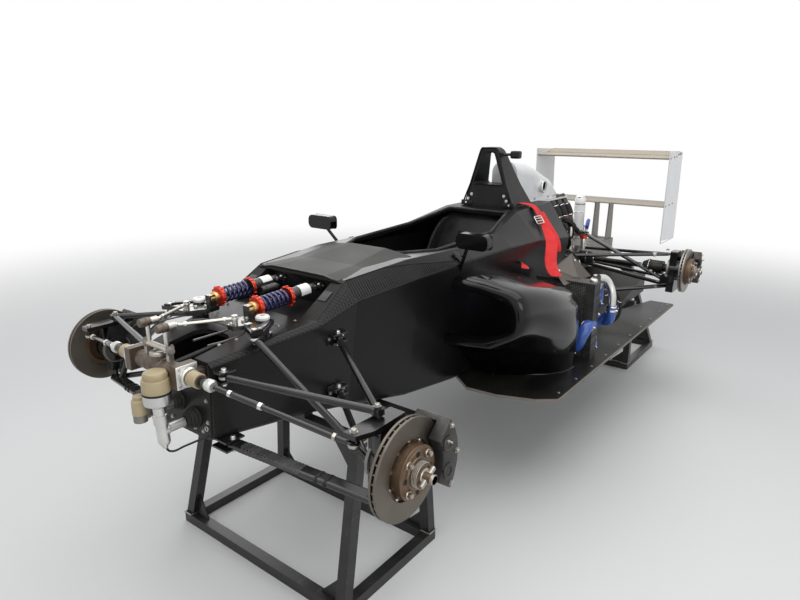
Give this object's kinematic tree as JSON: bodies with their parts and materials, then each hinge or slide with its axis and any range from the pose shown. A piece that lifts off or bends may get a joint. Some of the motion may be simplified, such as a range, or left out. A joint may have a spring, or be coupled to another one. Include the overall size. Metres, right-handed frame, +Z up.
{
  "type": "open wheel racing car on paddock stands",
  "caption": "Single seat open wheel racing car stripped to tub, suspension, hubs and rear wing, standing on paddock stands.",
  "frame": {"origin": "middle of the length and width of the whole, on the floor under the stands", "axes": "+X forward, +Y the car's left, +Z up"},
  "size_m": [3.9393, 1.754, 1.469],
  "materials": {
    "pale_composite": "pale grey composite, dusty",
    "carbon": "carbon weave, satin lacquer",
    "gloss_black": "gloss black",
    "satin_black": "scuffed satin black",
    "cast_alloy": "cast",
    "webbing": "red woven webbing",
    "bright_alloy": "machined",
    "wing_alloy": "satin",
    "wing_white": "white paint",
    "black_steel": "black paint, worn",
    "damper_steel": "brushed",
    "spring_blue": "dark blue enamel",
    "caliper_grey": "dusty grey black",
    "hub_steel": "bronze brown",
    "disc_iron": "turned, dusty",
    "grip": "worn"
  },
  "bodies": {
    "chassis": {"tub": "carbon", "front_bulkhead": "cast_alloy", "cockpit_deck": "carbon", "dash_plate": "satin_black", "roll_hoop": "carbon", "seat": "satin_black", "harness": "webbing", "mirrors": "gloss_black", "floor": "satin_black", "diffuser": "satin_black", "sidepod_left": "gloss_black", "sidepod_right": "gloss_black", "duct_covers": "pale_composite", "radiators": "bright_alloy", "coolant_pipes": "bright_alloy", "engine": "cast_alloy", "airbox": "pale_composite", "gearbox": "cast_alloy", "wing_mount": "cast_alloy", "wing_upper": "wing_alloy", "wing_lower": "wing_alloy", "endplates": "wing_white", "front_wishbones": "black_steel", "front_pushrods": "black_steel", "front_rockers": "black_steel", "front_dampers": "damper_steel", "front_springs": "spring_blue", "anti_roll_bar": "bright_alloy", "rack_housing": "cast_alloy", "master_cylinders": "bright_alloy", "rear_wishbones": "black_steel", "rear_uprights": "black_steel", "rear_calipers": "caliper_grey", "stand_front": "black_steel", "stand_rear": "black_steel"},
    "steering_rack": {"rack_bar": "black_steel"},
    "steering_wheel": {"steering_column": "black_steel", "steering_wheel": "grip"},
    "front_upright_left": {"front_upright_left": "black_steel", "front_caliper_left": "caliper_grey"},
    "front_upright_right": {"front_upright_right": "black_steel", "front_caliper_right": "caliper_grey"},
    "front_hub_left": {"front_hub_left": "hub_steel", "front_disc_left": "disc_iron"},
    "front_hub_right": {"front_hub_right": "hub_steel", "front_disc_right": "disc_iron"},
    "rear_hub_left": {"rear_hub_left": "hub_steel", "rear_disc_left": "disc_iron"},
    "rear_hub_right": {"rear_hub_right": "hub_steel", "rear_disc_right": "disc_iron"}
  },
  "joints": [
    {"name": "steering_turn", "type": "hinge", "parent": "chassis", "child": "steering_wheel", "pos_m": [0.895, 0, 0.962], "axis": [0.9954, 0, -0.0963], "range_deg": [-175, 175]},
    {"name": "rack_slide", "type": "slide", "parent": "chassis", "child": "steering_rack", "axis": [0, 1, 0], "range_m": [-0.025, 0.025]},
    {"name": "kingpin_left", "type": "hinge", "parent": "chassis", "child": "front_upright_left", "pos_m": [1.675, 0.68, 0.598], "axis": [-0.0392, -0.1177, 0.9923], "range_deg": [-15, 15]},
    {"name": "kingpin_right", "type": "hinge", "parent": "chassis", "child": "front_upright_right", "pos_m": [1.675, -0.68, 0.598], "axis": [-0.0392, 0.1177, 0.9923], "range_deg": [-15, 15]},
    {"name": "front_hub_left_spin", "type": "hinge", "parent": "front_upright_left", "child": "front_hub_left", "pos_m": [1.67, 0.758, 0.723], "axis": [0, 1, 0], "continuous": true},
    {"name": "front_hub_right_spin", "type": "hinge", "parent": "front_upright_right", "child": "front_hub_right", "pos_m": [1.67, -0.758, 0.723], "axis": [0, 1, 0], "continuous": true},
    {"name": "rear_hub_left_spin", "type": "hinge", "parent": "chassis", "child": "rear_hub_left", "pos_m": [-0.997, 0.8, 0.77], "axis": [0, 1, 0], "continuous": true},
    {"name": "rear_hub_right_spin", "type": "hinge", "parent": "chassis", "child": "rear_hub_right", "pos_m": [-0.997, -0.8, 0.77], "axis": [0, 1, 0], "continuous": true}
  ],
  "couplings": [
    {"joint": "rack_slide", "follows": "steering_turn", "m_per_rad": 0.008},
    {"joint": "kingpin_left", "follows": "steering_turn", "ratio": 0.080808},
    {"joint": "kingpin_right", "follows": "steering_turn", "ratio": 0.080808}
  ]
}
